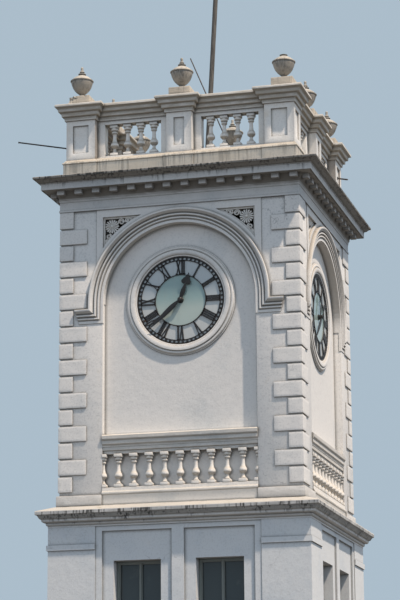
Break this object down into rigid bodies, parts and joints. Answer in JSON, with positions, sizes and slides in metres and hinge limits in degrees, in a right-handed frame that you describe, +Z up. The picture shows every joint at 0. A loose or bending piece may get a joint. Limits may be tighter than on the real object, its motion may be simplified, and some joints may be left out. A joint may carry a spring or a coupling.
{
  "type": "clock tower",
  "caption": "Square clock tower in stucco with four dials in arched recesses, quoined corners, a dentil cornice, a balustraded parapet with urns and a leaning pole.",
  "frame": {"origin": "centre of the square footprint at ground level", "axes": "+Z up, the front with the doorway faces -Y, +X to the right of the front"},
  "size_m": [6.1344, 5.552, 18.1045],
  "materials": {
    "stucco": "matt lime-washed stucco with black streaks and cream weathering",
    "stucco_lower": "matt lime-washed stucco, slightly greyer",
    "door_paint": "weathered grey-green paint on timber boards",
    "window_timber": "weathered painted timber",
    "window_glass": "clear, dusty",
    "concrete": "rough grey concrete",
    "dial_iron": "black-brown paint, dull",
    "hand_paint": "black-brown paint, dull",
    "dial_glass": "opal glass, pale green in the middle and white behind the numerals",
    "pole_timber": "bare weathered timber",
    "rod_iron": "black, rusted in places"
  },
  "bodies": {
    "tower": {"base_wall_front": "stucco_lower", "base_wall_right": "stucco_lower", "base_wall_back": "stucco_lower", "base_wall_left": "stucco_lower", "base_pilasters": "stucco_lower", "entrance_door": "door_paint", "window_frames": "window_timber", "window_panes": "window_glass", "ground_floor": "concrete", "first_floor": "concrete", "clock_room_floor": "concrete", "lower_cornice_front": "stucco", "lower_cornice_right": "stucco", "lower_cornice_back": "stucco", "lower_cornice_left": "stucco", "corner_piers": "stucco", "clock_walls": "stucco", "arch_head_front": "stucco", "arch_head_right": "stucco", "arch_head_back": "stucco", "arch_head_left": "stucco", "spandrel_grilles": "stucco", "blind_balustrades": "stucco", "dial_surrounds": "stucco", "dial_irons": "dial_iron", "dial_glasses": "dial_glass", "dial_arbors": "hand_paint", "main_cornice_front": "stucco", "main_cornice_right": "stucco", "main_cornice_back": "stucco", "main_cornice_left": "stucco", "roof_slab": "concrete", "parapet_base_front": "stucco", "parapet_base_right": "stucco", "parapet_base_back": "stucco", "parapet_base_left": "stucco", "parapet_bays": "stucco", "parapet_pedestals": "stucco", "urns": "stucco", "flagpole": "pole_timber", "iron_rods": "rod_iron"},
    "minute_hand_front": {"minute_hand_front": "hand_paint"},
    "minute_hand_right": {"minute_hand_right": "hand_paint"},
    "minute_hand_back": {"minute_hand_back": "hand_paint"},
    "minute_hand_left": {"minute_hand_left": "hand_paint"},
    "hour_hand_front": {"hour_hand_front": "hand_paint"},
    "hour_hand_right": {"hour_hand_right": "hand_paint"},
    "hour_hand_back": {"hour_hand_back": "hand_paint"},
    "hour_hand_left": {"hour_hand_left": "hand_paint"}
  },
  "joints": [
    {"name": "minute_turn_front", "type": "hinge", "parent": "tower", "child": "minute_hand_front", "pos_m": [0, -2.25, 10.98], "axis": [0, 1, 0], "continuous": true},
    {"name": "minute_turn_right", "type": "hinge", "parent": "tower", "child": "minute_hand_right", "pos_m": [2.25, 0, 10.98], "axis": [-1, 0, 0], "continuous": true},
    {"name": "minute_turn_back", "type": "hinge", "parent": "tower", "child": "minute_hand_back", "pos_m": [0, 2.25, 10.98], "axis": [0, -1, 0], "continuous": true},
    {"name": "minute_turn_left", "type": "hinge", "parent": "tower", "child": "minute_hand_left", "pos_m": [-2.25, 0, 10.98], "axis": [1, 0, 0], "continuous": true},
    {"name": "hour_turn_front", "type": "hinge", "parent": "tower", "child": "hour_hand_front", "pos_m": [0, -2.25, 10.98], "axis": [0, 1, 0], "continuous": true},
    {"name": "hour_turn_right", "type": "hinge", "parent": "tower", "child": "hour_hand_right", "pos_m": [2.25, 0, 10.98], "axis": [-1, 0, 0], "continuous": true},
    {"name": "hour_turn_back", "type": "hinge", "parent": "tower", "child": "hour_hand_back", "pos_m": [0, 2.25, 10.98], "axis": [0, -1, 0], "continuous": true},
    {"name": "hour_turn_left", "type": "hinge", "parent": "tower", "child": "hour_hand_left", "pos_m": [-2.25, 0, 10.98], "axis": [1, 0, 0], "continuous": true}
  ],
  "couplings": [
    {"joint": "minute_turn_right", "follows": "minute_turn_front", "ratio": 1},
    {"joint": "minute_turn_back", "follows": "minute_turn_front", "ratio": 1},
    {"joint": "minute_turn_left", "follows": "minute_turn_front", "ratio": 1},
    {"joint": "hour_turn_front", "follows": "minute_turn_front", "ratio": 0.083333},
    {"joint": "hour_turn_right", "follows": "minute_turn_front", "ratio": 0.083333},
    {"joint": "hour_turn_back", "follows": "minute_turn_front", "ratio": 0.083333},
    {"joint": "hour_turn_left", "follows": "minute_turn_front", "ratio": 0.083333}
  ]
}
